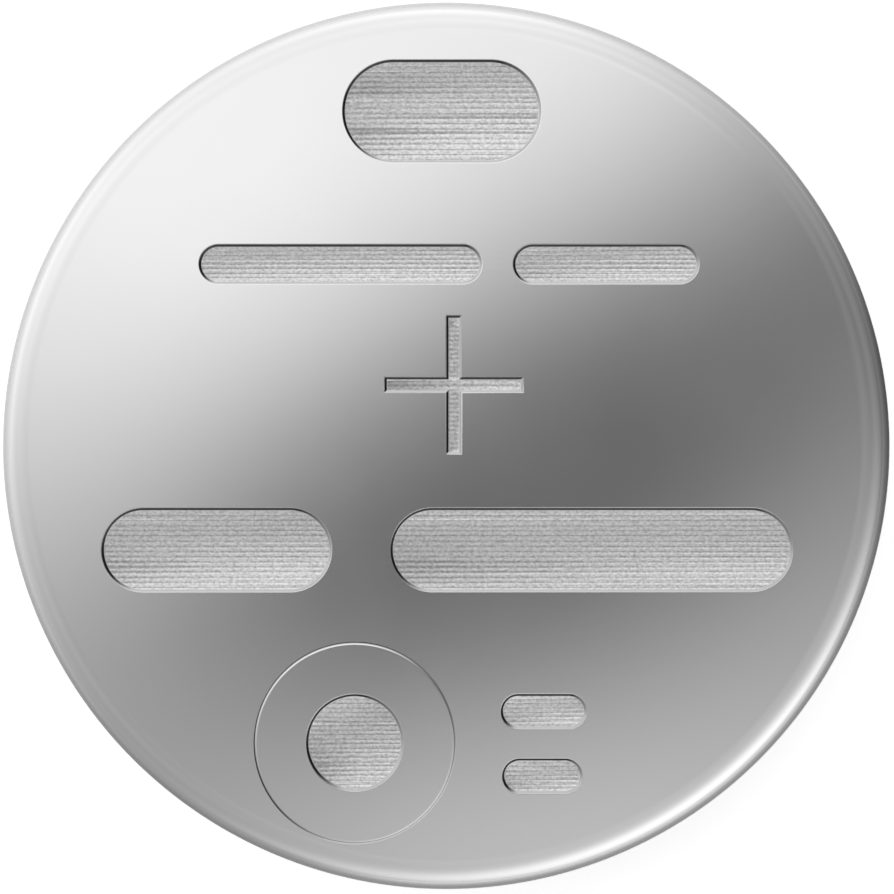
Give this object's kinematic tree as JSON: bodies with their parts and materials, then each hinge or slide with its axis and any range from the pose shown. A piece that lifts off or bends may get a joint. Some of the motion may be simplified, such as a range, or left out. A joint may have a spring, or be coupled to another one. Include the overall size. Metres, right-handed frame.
{
  "type": "lithium coin cell",
  "caption": "Flat round lithium cell with a steel can marked with a plus sign and crimped over a plastic seal and a steel cap.",
  "frame": {"origin": "middle of the negative contact face, which the cell lies on", "axes": "+Z along the cell's axis, from the negative contact face to the positive face; +Y is the top of the marks on the positive face"},
  "size_m": [0.02, 0.02, 0.0032],
  "materials": {
    "can_steel": "stainless steel with a smooth satin finish, stamped",
    "cap_steel": "stainless steel with a smooth satin finish, drawn",
    "gasket_plastic": "natural polypropylene, milky",
    "mesh_steel": "expanded stainless steel mesh, flattened",
    "cathode_powder": "pressed powder, matt black",
    "separator_web": "nonwoven polypropylene, off white",
    "lithium_metal": "soft dull silver metal"
  },
  "bodies": {
    "root": {"positive_can": "can_steel", "sealing_gasket": "gasket_plastic", "negative_cap": "cap_steel", "current_collector": "mesh_steel", "cathode_pellet": "cathode_powder", "separator": "separator_web", "lithium_anode": "lithium_metal"}
  },
  "joints": []
}
